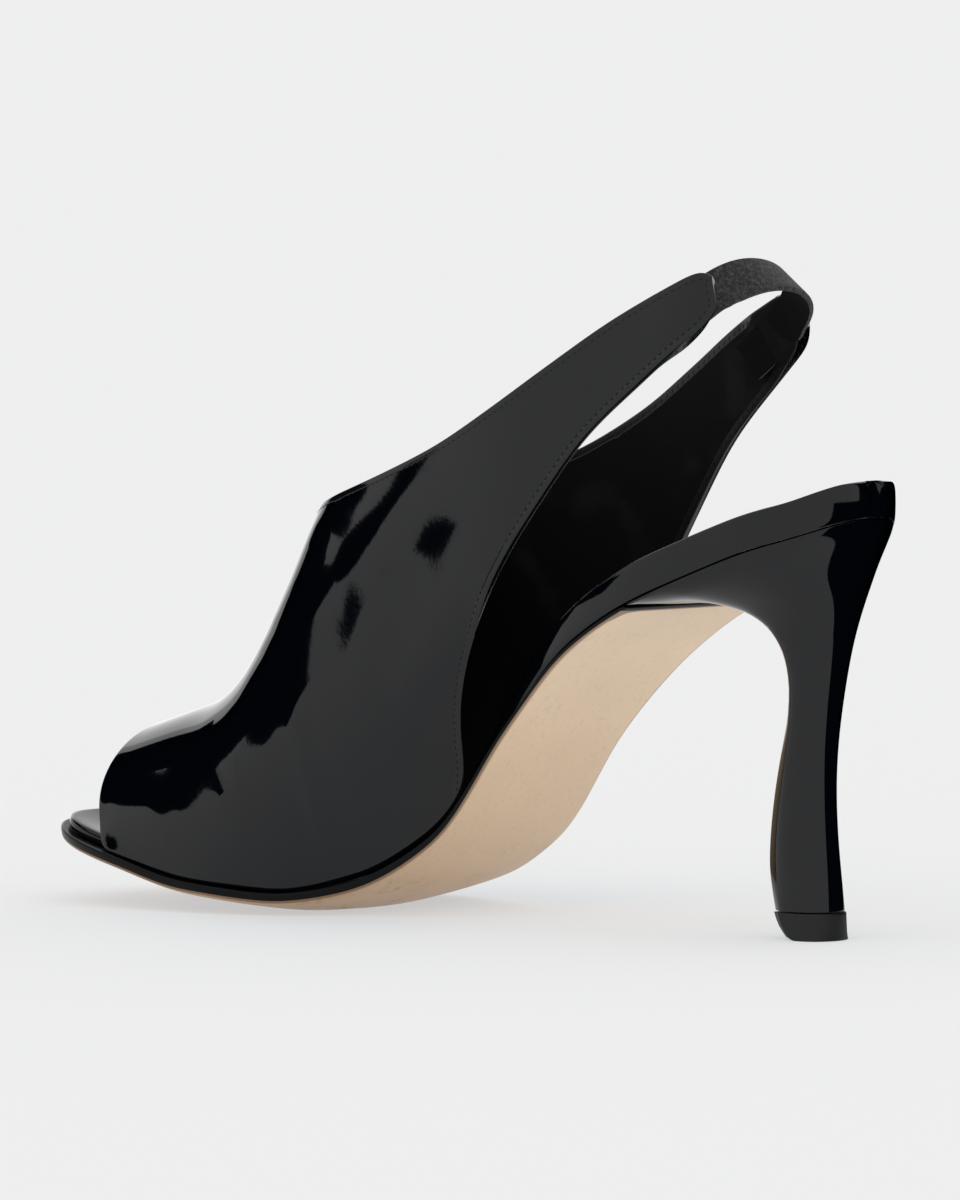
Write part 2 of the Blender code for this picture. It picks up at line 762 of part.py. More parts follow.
def make_heel(material):
    """Sculpted heel: the seat follows the insole, the leg is curved and flares at its foot."""
    front_at = BREAST_AT - 0.5 * GAP / SHOE_LENGTH

    def seat_width(row, at, t, side):
        return max(half_width(at, side) - HEEL_INSET, 0.0)

    def seat_height(row, at, x, t):
        return feather(at, x)

    def lip_height(row, at, x, t):
        return feather(at, x) - mix(HEEL_LIP, HEEL_FRONT_LIP, ease(t))

    back_at = HEEL_INSET / SHOE_LENGTH
    seat = Ring(back_at, 1.0, front_at, 1.0, 0.5, 0.0)
    rings = [heel_ring(seat, seat_width, seat_height), heel_ring(seat, seat_width, lip_height)]
    for row in HEEL_RINGS:
        rings.append(heel_ring(row, leg_width, leg_height))
    rings.append(heel_ring(HEEL_FOOT, leg_width, lambda row, at, x, t: TOP_LIFT_HEIGHT + GAP))
    bm = bmesh.new()
    loft(bm, rings, ruled_start=HEEL_SIDE_STEPS)
    return finish(bm, "heel", material)


def make_top_lift(material):
    """Wearing piece under the heel, a little larger than the heel's foot, worn at its front."""
    lip = TOP_LIFT_LIP / SHOE_LENGTH
    wider = HEEL_FOOT.half_width + TOP_LIFT_LIP / HEEL_SEAT_WIDTH
    rings = []
    for wear in TOP_LIFT_WEAR:
        height = TOP_LIFT_HEIGHT * wear.height
        front = HEEL_FOOT.front + lip - wear.cut * TOP_LIFT_UNDERCUT / SHOE_LENGTH
        row = HEEL_FOOT._replace(back=HEEL_FOOT.back - lip, front=front, half_width=wider)
        rings.append(heel_ring(row, leg_width, lambda row, at, x, t: height))
    bm = bmesh.new()
    loft(bm, rings)
    return finish(bm, "top_lift", material)


def main():
    for obj in list(bpy.data.objects):
        bpy.data.objects.remove(obj, do_unlink=True)
    patent = make_material("patent_leather", (0.012, 0.013, 0.014), 0.12)
    wrap = make_material("insole_wrap", (0.012, 0.013, 0.014), 0.12)
    elastic = make_material("woven_elastic", (0.045, 0.045, 0.048), 0.80)
    leather = make_material("sole_leather", (0.70, 0.53, 0.36), 0.55)
    heel_cover = make_material("heel_cover", (0.012, 0.013, 0.014), 0.10)
    rubber = make_material("top_lift_rubber", (0.010, 0.010, 0.010), 0.60)
    make_outsole(leather)
    make_insole(wrap)
    make_upper(patent)
    make_elastic(elastic)
    make_heel(heel_cover)
    make_top_lift(rubber)


main()
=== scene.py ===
"""Looks of a black patent slingback sandal, right foot, round its fixed solid parts.

Metres, +Z up, toe towards -Y, the inner side of the foot towards +X, floor at z = 0.
"""

import math

import bmesh
import bpy
from mathutils import Matrix, Quaternion, Vector
from mathutils.bvhtree import BVHTree
from mathutils.kdtree import KDTree


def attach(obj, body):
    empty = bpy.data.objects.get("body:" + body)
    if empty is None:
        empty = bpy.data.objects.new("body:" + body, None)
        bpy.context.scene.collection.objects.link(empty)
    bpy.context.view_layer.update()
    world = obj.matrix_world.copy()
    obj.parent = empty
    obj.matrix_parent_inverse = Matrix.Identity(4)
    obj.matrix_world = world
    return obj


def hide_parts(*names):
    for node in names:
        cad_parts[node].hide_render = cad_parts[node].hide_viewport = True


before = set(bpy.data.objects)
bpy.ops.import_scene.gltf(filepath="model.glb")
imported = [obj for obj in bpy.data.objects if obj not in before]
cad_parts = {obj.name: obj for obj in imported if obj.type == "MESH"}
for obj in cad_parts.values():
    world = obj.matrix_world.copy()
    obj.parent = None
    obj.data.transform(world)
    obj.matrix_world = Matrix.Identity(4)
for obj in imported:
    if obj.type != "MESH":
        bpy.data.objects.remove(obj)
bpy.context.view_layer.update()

# How the solids' faces are read: lengths in metres, angles in degrees
MERGE = 0.00002
SMALL_REGION = 6  # patches with fewer faces than this go with their neighbours
JOIN_BEND = 28.0
JOIN_SHAPE = 75.0
WALL_BEND = 45.0
SOLE_BEND = 24.0
UNDER_BEND = 55.0  # the tan leather goes this far round the sole's lower edge
EDGE_BEND = 50.0
INSOLE_EDGE_BEND = 40.0
LIFT_EDGE_BEND = 35.0
RELAX_VAMP = 12
RELAX_HEEL = 6
HOLD_SHARE = 0.75
HOLD_MOST = 0.00030

# Sizes of the shoe's finish
WALL_EDGE_ROUND = 0.00040
HEEL_EDGE_ROUND = 0.00035
LIFT_EDGE_ROUND = 0.00040
INSOLE_EDGE_ROUND = 0.00045
ELASTIC_EDGE_ROUND = 0.00030
BORDER_WIDTH = 0.0014  # folded border along the upper's edges
BORDER_HEIGHT = 0.00007
LINING_MARGIN = 0.0019
STITCH_FROM_EDGE = 0.0016
STITCH_LENGTH = 0.0010
STITCH_PITCH = 0.0017
STITCH_THICK = 0.00022
STITCH_WIDTH = 1.24  # of its thickness
INNER_STITCH_FROM_EDGE = 0.0012
INNER_STITCH_LENGTH = 0.0013
INNER_STITCH_PITCH = 0.0021
INNER_STITCH_SLANT = 32.0
END_FOLD = 0.0019  # how much thicker the strap is where its end is folded over the elastic
END_FOLD_LENGTH = 0.0115
END_FOLD_RUNOUT = 0.0060
ELASTIC_TUCKED = 0.0100
ELASTIC_RUNOUT = 0.0120
ELASTIC_SHIFT = 0.0010
ELASTIC_MIDDLE_Y = 0.0700
RIB_PITCH = 0.00085
THREAD_PITCH = 0.00110
SOLE_RIM = (0.00045, 0.00085)  # the brown rim line is full to the first and gone at the second
RUBBED_FROM, RUBBED_FULL = 0.040, -0.040  # along the sole, towards the toe
STRAP_END_Y = {1: 0.0745, -1: 0.0680}
STRAP_END_IN = Vector((0.0, -0.6, -0.8))
VAMP_REAR_Y = 0.0064
MOUTH_Y = -0.0760

# Camera: where the photo was taken from, seen from the point it is aimed at
AIM = Vector((0.0, 0.0, 0.060))
CAMERA_TURN = 38.02
CAMERA_RISE = 3.40
CAMERA_DISTANCE = 1.89213
SENSOR = 36.0
FOCAL_LENGTH = 252.6
SHIFT = (-0.00545, 0.04132)

# Cards stand round these two places
CARD_CENTRE = (0.03, -0.03, 0.0)
HEEL_CENTRE = (0.0, 0.10, 0.0)

# Light and colours, linear
ROOM_LIGHT = (0.858, 0.860, 0.862)
BLACK_FILM = (0.0008, 0.0014, 0.0026)
FILM_IOR = 1.445
BORDER_BLACK = (0.0035, 0.0042, 0.0050)
MARGIN_BLACK = (0.0075, 0.0075, 0.0080)
LINING_BLACK = (0.0026, 0.0026, 0.0028)
LINING_WORN = (0.012, 0.012, 0.013)
THREAD_BLACK = (0.003, 0.003, 0.0032)
RAW_EDGE = (0.55, 0.55, 0.54)
ELASTIC_GREY = (0.030, 0.030, 0.032)
# painted shade: the darker colour of the elastic's inner faces, standing in for the shade that
# falls there
ELASTIC_SHADE_COLOR = (0.006, 0.006, 0.0065)
FLOOR_SHADE = (0.50, 0.46, 0.43)  # how much of the floor's light a shadow can take, by colour
TAN_LIGHT = (0.90, 0.69, 0.48)
TAN_DARK = (0.41, 0.26, 0.145)
TAN_EDGE = (0.16, 0.085, 0.045)
EDGE_INK = (0.0018, 0.0018, 0.0018)
RUBBER = (0.0045, 0.0045, 0.0048)


def add(tree, kind, inputs=None, **settings):
    """One shader node. inputs are sockets to link from, or plain values."""
    made = tree.nodes.new(kind)
    for key, value in settings.items():
        setattr(made, key, value)
    for key, value in (inputs or {}).items():
        if isinstance(value, bpy.types.NodeSocket):
            tree.links.new(value, made.inputs[key])
        else:
            made.inputs[key].default_value = value
    return made


def math_node(tree, operation, a, b=0.0, clamp=False):
    made = add(tree, "ShaderNodeMath", {0: a, 1: b}, operation=operation, use_clamp=clamp)
    return made.outputs[0]


def mix_color(tree, factor, a, b):
    made = add(tree, "ShaderNodeMix", {"Factor": factor}, data_type="RGBA")
    for socket, value in ((made.inputs[6], a), (made.inputs[7], b)):
        if isinstance(value, bpy.types.NodeSocket):
            tree.links.new(value, socket)
        else:
            socket.default_value = (*value, 1.0)
    return made.outputs[2]


def mix_value(tree, factor, a, b):
    made = add(tree, "ShaderNodeMix", {"Factor": factor, 2: a, 3: b}, data_type="FLOAT")
    return made.outputs[0]


def step_mask(tree, value, start, end):
    """0 where value is at start, 1 where it is at end, and soft between."""
    made = add(tree, "ShaderNodeMapRange", {"Value": value, "From Min": start, "From Max": end},
               interpolation_type="SMOOTHSTEP")
    return made.outputs["Result"]


def noise(tree, vector, size, detail=2.0, roughness=0.5):
    """Noise whose blobs are about size metres wide."""
    made = add(tree, "ShaderNodeTexNoise",
               {"Vector": vector, "Scale": 0.5 / size, "Detail": detail, "Roughness": roughness})
    return made.outputs["Fac"]


def new_group(name, outputs):
    """Empty shader group with float or colour outputs; returns the tree and its output node."""
    tree = bpy.data.node_groups.new(name, "ShaderNodeTree")
    for socket, kind in outputs:
        tree.interface.new_socket(socket, in_out="OUTPUT", socket_type=kind)
    return tree, tree.nodes.new("NodeGroupOutput")


def make_waves_group():
    """Soft waves of leather over a last, and the very fine texture of its film."""
    tree, out = new_group("film_height", (("Waves", "NodeSocketFloat"),
                                          ("Peel", "NodeSocketFloat")))
    place = add(tree, "ShaderNodeTexCoord").outputs["Object"]
    wide = noise(tree, place, 0.011, 1.0)
    small = noise(tree, place, 0.0035, 1.5)
    both = math_node(tree, "MULTIPLY_ADD", small, 0.16)
    tree.links.new(wide, both.node.inputs[2])
    tree.links.new(both, out.inputs["Waves"])
    tree.links.new(noise(tree, place, 0.0007, 2.0), out.inputs["Peel"])
    return tree


def make_wear_group():
    """Rubbed patches: 1 where the surface has been rubbed."""
    tree, out = new_group("rubbed", (("Mask", "NodeSocketFloat"),))
    place = add(tree, "ShaderNodeTexCoord").outputs["Object"]
    big = step_mask(tree, noise(tree, place, 0.006, 3.0), 0.50, 0.72)
    fine = step_mask(tree, noise(tree, place, 0.0009, 4.0, 0.7), 0.42, 0.66)
    tree.links.new(math_node(tree, "MULTIPLY", big, fine), out.inputs["Mask"])
    return tree


def new_material(name):
    material = bpy.data.materials.new(name)
    material.use_nodes = True
    tree = material.node_tree
    return material, tree, tree.nodes["Principled BSDF"]


def film_normal(tree, waves_height, peel_height):
    """Normal of leather under a film, in metres of wave height and of fine height."""
    group = add(tree, "ShaderNodeGroup", node_tree=WAVES)
    waves = add(tree, "ShaderNodeBump", {"Strength": 1.0, "Distance": waves_height,
                                        "Height": group.outputs["Waves"]})
    peel = add(tree, "ShaderNodeBump", {"Strength": 1.0, "Distance": peel_height,
                                       "Height": group.outputs["Peel"],
                                       "Normal": waves.outputs["Normal"]})
    return peel.outputs["Normal"]


def make_patent(name, waves_height=0.00004, peel_height=0.0000035, roughness=0.045,
                border=False):
    material, tree, shader = new_material(name)
    worn = add(tree, "ShaderNodeGroup", node_tree=WEAR).outputs["Mask"]
    shader.inputs["Base Color"].default_value = (*BLACK_FILM, 1.0)
    shader.inputs["IOR"].default_value = FILM_IOR
    tree.links.new(mix_value(tree, worn, roughness, roughness + 0.05), shader.inputs["Roughness"])
    normal = film_normal(tree, waves_height, peel_height)
    if border:
        edge = add(tree, "ShaderNodeAttribute", attribute_name="edge_in").outputs["Fac"]
        inside = step_mask(tree, edge, BORDER_WIDTH + 0.00020, BORDER_WIDTH - 0.00005)
        step = add(tree, "ShaderNodeBump", {"Strength": 1.0, "Distance": BORDER_HEIGHT,
                                            "Height": inside, "Normal": normal})
        normal = step.outputs["Normal"]
        fold = mix_color(tree, inside, BLACK_FILM, BORDER_BLACK)
        tree.links.new(fold, shader.inputs["Base Color"])
    tree.links.new(normal, shader.inputs["Normal"])
    return material


def make_lining():
    """Inside of the upper: dark lining, with the outer leather turned over its edges."""
    material, tree, shader = new_material("lining")
    edge = add(tree, "ShaderNodeAttribute", attribute_name="edge_in").outputs["Fac"]
    place = add(tree, "ShaderNodeTexCoord").outputs["Object"]
    inside = step_mask(tree, edge, LINING_MARGIN - 0.00015, LINING_MARGIN + 0.00015)
    worn = step_mask(tree, noise(tree, place, 0.007, 2.0), 0.52, 0.74)
    cloth = mix_color(tree, math_node(tree, "MULTIPLY", worn, 0.6), LINING_BLACK, LINING_WORN)
    tree.links.new(mix_color(tree, inside, MARGIN_BLACK, cloth), shader.inputs["Base Color"])
    tree.links.new(mix_value(tree, inside, 0.30, 0.62), shader.inputs["Roughness"])
    tree.links.new(mix_value(tree, inside, 0.50, 0.12), shader.inputs["Specular IOR Level"])
    step = add(tree, "ShaderNodeBump", {"Strength": 0.7, "Distance": 0.00015, "Height": inside,
                                        "Normal": film_normal(tree, 0.00020, 0.00001)})
    tree.links.new(step.outputs["Normal"], shader.inputs["Normal"])
    return material


def make_plain(name, color, roughness, specular=0.5, grain_size=0.0006, grain_height=0.00002):
    material, tree, shader = new_material(name)
    place = add(tree, "ShaderNodeTexCoord").outputs["Object"]
    grain = noise(tree, place, grain_size, 3.0)
    darker = tuple(0.6 * c for c in color)
    tree.links.new(mix_color(tree, grain, color, darker), shader.inputs["Base Color"])
    shader.inputs["Roughness"].default_value = roughness
    shader.inputs["Specular IOR Level"].default_value = specular
    bump = add(tree, "ShaderNodeBump", {"Strength": 1.0, "Distance": grain_height, "Height": grain})
    tree.links.new(bump.outputs["Normal"], shader.inputs["Normal"])
    return material


def make_elastic_material():
    """Woven elastic: fine ribs along the strap, crossed threads and pale flecks."""
    material, tree, shader = new_material("elastic")
    flat = add(tree, "ShaderNodeUVMap", uv_map="weave").outputs["UV"]
    split = add(tree, "ShaderNodeSeparateXYZ", {"Vector": flat})
    turns_along = math_node(tree, "MULTIPLY", split.outputs["X"], math.tau / RIB_PITCH)
    turns_across = math_node(tree, "MULTIPLY", split.outputs["Y"], math.tau / THREAD_PITCH)
    weave = math_node(tree, "MULTIPLY", math_node(tree, "SINE", turns_along),
                      math_node(tree, "SINE", turns_across))
    place = add(tree, "ShaderNodeTexCoord").outputs["Object"]
    fleck = step_mask(tree, noise(tree, place, 0.0005, 3.0, 0.7), 0.42, 0.66)
    blotch = noise(tree, place, 0.0022, 2.0)
    height = math_node(tree, "MULTIPLY_ADD", weave, 0.25)
    height.node.inputs[2].default_value = 0.5
    light = math_node(tree, "MULTIPLY", height, fleck)
    light = math_node(tree, "MULTIPLY", light, math_node(tree, "ADD", blotch, 0.6))
    pale = tuple(2.6 * c for c in ELASTIC_GREY)
    dark = tuple(0.55 * c for c in ELASTIC_GREY)
    tree.links.new(mix_color(tree, light, dark, pale), shader.inputs["Base Color"])
    shader.inputs["Roughness"].default_value = 0.85
    shader.inputs["Specular IOR Level"].default_value = 0.25
    shader.inputs["Sheen Weight"].default_value = 0.15
    shader.inputs["Sheen Roughness"].default_value = 0.5
    bump = add(tree, "ShaderNodeBump", {"Strength": 1.0, "Distance": 0.00012, "Height": height})
    fuzz = add(tree, "ShaderNodeBump", {"Strength": 1.0, "Distance": 0.00010, "Height": fleck,
                                       "Normal": bump.outputs["Normal"]})
    tree.links.new(fuzz.outputs["Normal"], shader.inputs["Normal"])
    return material


def make_sole_leather():
    """Tan leather underside: darker and rubbed under the ball, a thin brown line at its rim."""
    material, tree, shader = new_material("sole_tan")
    place = add(tree, "ShaderNodeTexCoord").outputs["Object"]
    split = add(tree, "ShaderNodeSeparateXYZ", {"Vector": place})
    ball = step_mask(tree, split.outputs["Y"], RUBBED_FROM, RUBBED_FULL)
    fibre = add(tree, "ShaderNodeMapping", {"Vector": place, "Scale": (1.0, 0.25, 1.0)})
    grain = noise(tree, fibre.outputs["Vector"], 0.0006, 4.0, 0.65)
    cloud = noise(tree, place, 0.009, 2.0)
    tone = math_node(tree, "MULTIPLY_ADD", cloud, 0.16, clamp=True)
    tree.links.new(math_node(tree, "MULTIPLY", ball, 0.85), tone.node.inputs[2])
    color = mix_color(tree, tone, TAN_LIGHT, TAN_DARK)
    dark_grain = math_node(tree, "MULTIPLY", step_mask(tree, grain, 0.52, 0.75), 0.16)
    color = mix_color(tree, dark_grain, color, TAN_EDGE)
    worn = add(tree, "ShaderNodeGroup", node_tree=WEAR).outputs["Mask"]
    scuffed = math_node(tree, "MULTIPLY", math_node(tree, "MULTIPLY", worn, ball), 0.45)
    color = mix_color(tree, scuffed, color, TAN_EDGE)
    edge = add(tree, "ShaderNodeAttribute", attribute_name="edge_in").outputs["Fac"]
    rim = step_mask(tree, edge, SOLE_RIM[1], SOLE_RIM[0])
    color = mix_color(tree, math_node(tree, "MULTIPLY", rim, 0.8), color, TAN_EDGE)
    tree.links.new(color, shader.inputs["Base Color"])
    tree.links.new(mix_value(tree, scuffed, 0.42, 0.70), shader.inputs["Roughness"])
    shader.inputs["Specular IOR Level"].default_value = 0.35
    bump = add(tree, "ShaderNodeBump", {"Strength": 1.0, "Distance": 0.00003, "Height": grain})
    tree.links.new(bump.outputs["Normal"], shader.inputs["Normal"])
    return material


def flat_copy(node):
    """The solid part's own mesh with its corners merged."""
    bm = bmesh.new()
    bm.from_mesh(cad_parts[node].data)
    bmesh.ops.remove_doubles(bm, verts=bm.verts, dist=MERGE)
    bmesh.ops.recalc_face_normals(bm, faces=bm.faces)
    return bm


def join_faces(bm):
    """Join pairs of triangles into four-sided faces."""
    bmesh.ops.join_triangles(bm, faces=bm.faces, cmp_seam=False, cmp_sharp=False,
                             angle_face_threshold=math.radians(JOIN_BEND),
                             angle_shape_threshold=math.radians(JOIN_SHAPE))
    bmesh.ops.recalc_face_normals(bm, faces=bm.faces)


def sharp_edges(bm, bend):
    """Edges whose two faces meet at more than bend degrees."""
    return [e for e in bm.edges if len(e.link_faces) == 2
            and e.calc_face_angle() > math.radians(bend)]


def round_off(bm, edges, width):
    bmesh.ops.bevel(bm, geom=edges, offset=width, segments=2, profile=0.5, affect="EDGES",
                    material=-1, clamp_overlap=True)


def smooth_regions(bm, bend):
    """Sets of faces, largest first, that meet each other at less than bend degrees."""
    limit = math.radians(bend)
    left = set(bm.faces)
    regions = []
    while left:
        start = left.pop()
        region = {start}
        wave = [start]
        while wave:
            face = wave.pop()
            for edge in face.edges:
                if len(edge.link_faces) != 2 or edge.calc_face_angle() > limit:
                    continue
                for other in edge.link_faces:
                    if other in left:
                        left.remove(other)
                        region.add(other)
                        wave.append(other)
        regions.append(region)
    regions.sort(key=len, reverse=True)
    while len(regions[-1]) < SMALL_REGION:
        small = regions.pop()
        beside = [o for f in small for e in f.edges for o in e.link_faces if o not in small]
        home = max(regions, key=lambda r: sum(o in r for o in beside))
        home |= small
    return sorted(regions, key=lambda r: -sum(f.calc_area() for f in r))


def outline_edges(region):
    """Edges between a region and the rest."""
    return [e for f in region for e in f.edges if any(o not in region for o in e.link_faces)]


def outline_loops(region):
    """Outlines of a region as lists of (place, direction into the region, outward normal)."""
    near = {}
    for edge in outline_edges(region):
        for vert in edge.verts:
            near.setdefault(vert, set()).add(edge.other_vert(vert))
    loops = []
    left = set(near)
    while left:
        vert = min(left, key=lambda v: (v.co.z, v.co.x))
        loop = []
        while vert is not None:
            left.discard(vert)
            loop.append(vert)
            ahead = [v for v in near[vert] if v in left]
            vert = min(ahead, key=lambda v: (v.co - loop[-1].co).length) if ahead else None
        rows = []
        for k, vert in enumerate(loop):
            faces = [f for f in vert.link_faces if f in region]
            tangent = (loop[(k + 1) % len(loop)].co - loop[k - 1].co).normalized()
            normal = sum((f.normal for f in faces), Vector()).normalized()
            middle = sum((f.calc_center_median() for f in faces), Vector()) / len(faces)
            inward = tangent.cross(normal).normalized()
            if inward.dot(middle - vert.co) < 0.0:
                inward = -inward
            rows.append((vert.co.copy(), inward, normal))
        loops.append(rows)
    return loops


def edge_kind(place, inward):
    """Which edge of the upper a place on its outline belongs to."""
    if place.y < VAMP_REAR_Y and place.z < 0.050 and inward.z > 0.35 and inward.y < 0.80:
        return "foot"
    if place.y < MOUTH_Y:
        return "mouth"
    if place.y > STRAP_END_Y[1 if place.x > 0.0 else -1] and inward.dot(STRAP_END_IN) > 0.45:
        return "end"
    return "rear" if inward.dot(Vector((0.0, -0.8, 0.6))) > 0.0 and place.y > 0.0 else "collar"


def distance_layer(bm, name, points):
    """Distance from each vertex to the nearest of the points, kept with the mesh."""
    tree = KDTree(len(points))
    for k, point in enumerate(points):
        tree.insert(point, k)
    tree.balance()
    layer = bm.verts.layers.float.get(name) or bm.verts.layers.float.new(name)
    for vert in bm.verts:
        vert[layer] = tree.find(vert.co)[2]
    return layer


def dense(points, closed=False, step=0.0004):
    """Points along a line, one every step."""
    made = []
    ends = points[1:] + (points[:1] if closed else [])
    for a, b in zip(points, ends):
        count = max(int((b - a).length / step), 1)
        made += [a.lerp(b, k / count) for k in range(count)]
    return made


def relax(bm, faces, fixed, passes):
    """Even out the small steps of the flat-faced solid, but not along the fixed edges.

    Each pass smooths and then swells by as much, so that the form keeps its fullness.
    """
    still = {v for e in fixed for v in e.verts}
    loose = list({v for f in faces for v in f.verts} - still)
    for factor in (0.5, -0.5) * passes:
        bmesh.ops.smooth_vert(bm, verts=loose, factor=factor, use_axis_x=True, use_axis_y=True,
                              use_axis_z=True)


def show(bm, name, materials, nodes=(), levels=2):
    """A finished piece of the shoe from a bmesh."""
    mesh = bpy.data.meshes.new(name)
    bm.to_mesh(mesh)
    bm.free()
    mesh.shade_smooth()
    for material in materials:
        mesh.materials.append(material)
    piece = bpy.data.objects.new(name, mesh)
    bpy.context.scene.collection.objects.link(piece)
    if levels:
        soft = piece.modifiers.new("soft", "SUBSURF")
        soft.levels = levels
        soft.render_levels = levels
        hold_shape(piece)
    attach(piece, "root")
    if nodes:
        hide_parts(*nodes)
    return piece


def hold_shape(piece):
    """Move the coarse points so that the softened surface keeps close to their first places."""
    mesh = piece.data
    bpy.context.view_layer.update()
    soft = piece.evaluated_get(bpy.context.evaluated_depsgraph_get()).data
    moves = [(vert.co - soft.vertices[k].co) * HOLD_SHARE for k, vert in enumerate(mesh.vertices)]
    for vert, move in zip(mesh.vertices, moves):
        vert.co += move * min(1.0, HOLD_MOST / max(move.length, 1e-9))
    mesh.update()


def ease(t):
    t = min(max(t, 0.0), 1.0)
    return t * t * (3.0 - 2.0 * t)


def surface_of(piece):
    """The piece's finished surface, for laying things on it."""
    bpy.context.view_layer.update()
    return BVHTree.FromObject(piece, bpy.context.evaluated_depsgraph_get())


def runs_of(loop, kinds):
    """Unbroken runs of a closed outline that belong to the named edges."""
    count = len(loop)
    wanted = [edge_kind(place, inward) in kinds for place, inward, _ in loop]
    if all(wanted):
        return [loop]
    start = wanted.index(False)
    runs = []
    run = []
    for k in range(start, start + count + 1):
        if wanted[k % count]:
            run.append(loop[k % count])
        elif run:
            runs.append(run)
            run = []
    return [r for r in runs if len(r) > 3]


def rounded(line, passes=2):
    """The same line with its corners cut, so that it runs smoothly."""
    for _ in range(passes):
        cut = [line[0]]
        for a, b in zip(line, line[1:]):
            cut.append(a.lerp(b, 0.25))
            cut.append(a.lerp(b, 0.75))
        line = cut + [line[-1]]
    return line


def lay_stitches(bm, run, surface, inset, length, pitch, slant=0.0):
    """Small round-ended stitches along a run of an edge, at an inset from it."""
    line = rounded([place + inward * inset for place, inward, _ in run])
    travelled = 0.0
    wanted = 0.5 * pitch
    for a, b in zip(line, line[1:]):
        size = (b - a).length
        while size > 0.0 and wanted <= travelled + size:
            spot = a.lerp(b, (wanted - travelled) / size)
            place, normal = surface.find_nearest(spot)[:2]
            wanted += pitch
            if place is None:
                continue
            along = (b - a).normalized()
            along = (along - normal * along.dot(normal)).normalized()
            along = Matrix.Rotation(math.radians(slant), 3, normal) @ along
            side = normal.cross(along)
            turn = Matrix((along, side, normal)).transposed().to_4x4()
            size_of = Matrix.Diagonal((0.5 * length, 0.5 * STITCH_WIDTH * STITCH_THICK,
                                       0.5 * STITCH_THICK, 1.0))
            bmesh.ops.create_uvsphere(bm, u_segments=8, v_segments=5, radius=1.0,
                                      matrix=Matrix.Translation(place) @ turn @ size_of)
        travelled += size


def fold_strap_ends(inner, loop):
    """Thicken both strap ends on the inside, where they are folded over the elastic."""
    ends = [row[0] for row in loop if edge_kind(row[0], row[1]) == "end"]
    moves = {}
    for vert in {v for face in inner for v in face.verts}:
        away = min((vert.co - end).length for end in ends)
        depth = END_FOLD * (1.0 - ease((away - END_FOLD_LENGTH) / END_FOLD_RUNOUT))
        faces = [f for f in vert.link_faces if f in inner]
        normal = sum((f.normal for f in faces), Vector()).normalized()
        moves[vert] = normal * depth
    for vert, move in moves.items():
        vert.co += move


def make_upper_piece():
    bm = flat_copy("upper")
    join_faces(bm)
    first, second = smooth_regions(bm, WALL_BEND)[:2]

    def facing(region):
        return sum(f.calc_area() * f.normal.x * math.copysign(1.0, f.calc_center_median().x)
                   for f in region)

    outer, inner = (first, second) if facing(first) > facing(second) else (second, first)
    outer_loop = max(outline_loops(outer), key=len)
    inner_loop = max(outline_loops(inner), key=len)
    for face in bm.faces:
        face.material_index = 0
        if face in inner:
            face.material_index = 1
        elif face not in outer:
            middle = face.calc_center_median()
            near = min(outer_loop, key=lambda row: (row[0] - middle).length)
            face.material_index = 3 if edge_kind(near[0], near[1]) == "end" else 2
    fold_strap_ends(inner, inner_loop)
    rims = set(outline_edges(outer)) | set(outline_edges(inner))
    relax(bm, outer, rims, RELAX_VAMP)
    round_off(bm, list(rims), WALL_EDGE_ROUND)
    edges = {"rear", "end", "collar"}
    points = []
    for loop in (outer_loop, inner_loop):
        for run in runs_of(loop, edges):
            points += dense([row[0] for row in run])
    distance_layer(bm, "edge_in", points)
    piece = show(bm, "upper_patent", (PATENT, LINING, EDGE_PAINT, RAW),
                 ("upper",))
    surface = surface_of(piece)
    bm = bmesh.new()
    for run in runs_of(outer_loop, edges):
        lay_stitches(bm, run, surface, STITCH_FROM_EDGE, STITCH_LENGTH, STITCH_PITCH)
    for run in runs_of(inner_loop, edges):
        lay_stitches(bm, run, surface, INNER_STITCH_FROM_EDGE, INNER_STITCH_LENGTH,
                     INNER_STITCH_PITCH, INNER_STITCH_SLANT)
    show(bm, "upper_stitches", (THREAD,), levels=0)
    return piece


def make_insole_piece():
    bm = flat_copy("insole")
    join_faces(bm)
    round_off(bm, sharp_edges(bm, INSOLE_EDGE_BEND), INSOLE_EDGE_ROUND)
    return show(bm, "insole_patent", (INSOLE,), ("insole",))


def make_outsole_piece():
    bm = flat_copy("outsole")
    join_faces(bm)
    regions = smooth_regions(bm, SOLE_BEND)
    under = min(regions[:3], key=lambda r: sum(f.normal.z * f.calc_area() for f in r))
    under |= {f for e in outline_edges(under) for f in e.link_faces
              if e.calc_face_angle() < math.radians(UNDER_BEND)}
    for face in bm.faces:
        face.material_index = 1 if face in under else 0
    points = []
    for loop in outline_loops(under):
        points += dense([row[0] for row in loop], closed=True)
    distance_layer(bm, "edge_in", points)
    return show(bm, "outsole_leather", (INK, SOLE), ("outsole",))


def make_heel_piece():
    bm = flat_copy("heel")
    join_faces(bm)
    sharp = sharp_edges(bm, EDGE_BEND)
    relax(bm, bm.faces, sharp, RELAX_HEEL)
    round_off(bm, sharp, HEEL_EDGE_ROUND)
    return show(bm, "heel_patent", (HEEL,), ("heel",))


def make_lift_piece():
    bm = flat_copy("top_lift")
    join_faces(bm)
    round_off(bm, sharp_edges(bm, LIFT_EDGE_BEND), LIFT_EDGE_ROUND)
    return show(bm, "top_lift_rubber", (LIFT,), ("top_lift",), levels=1)


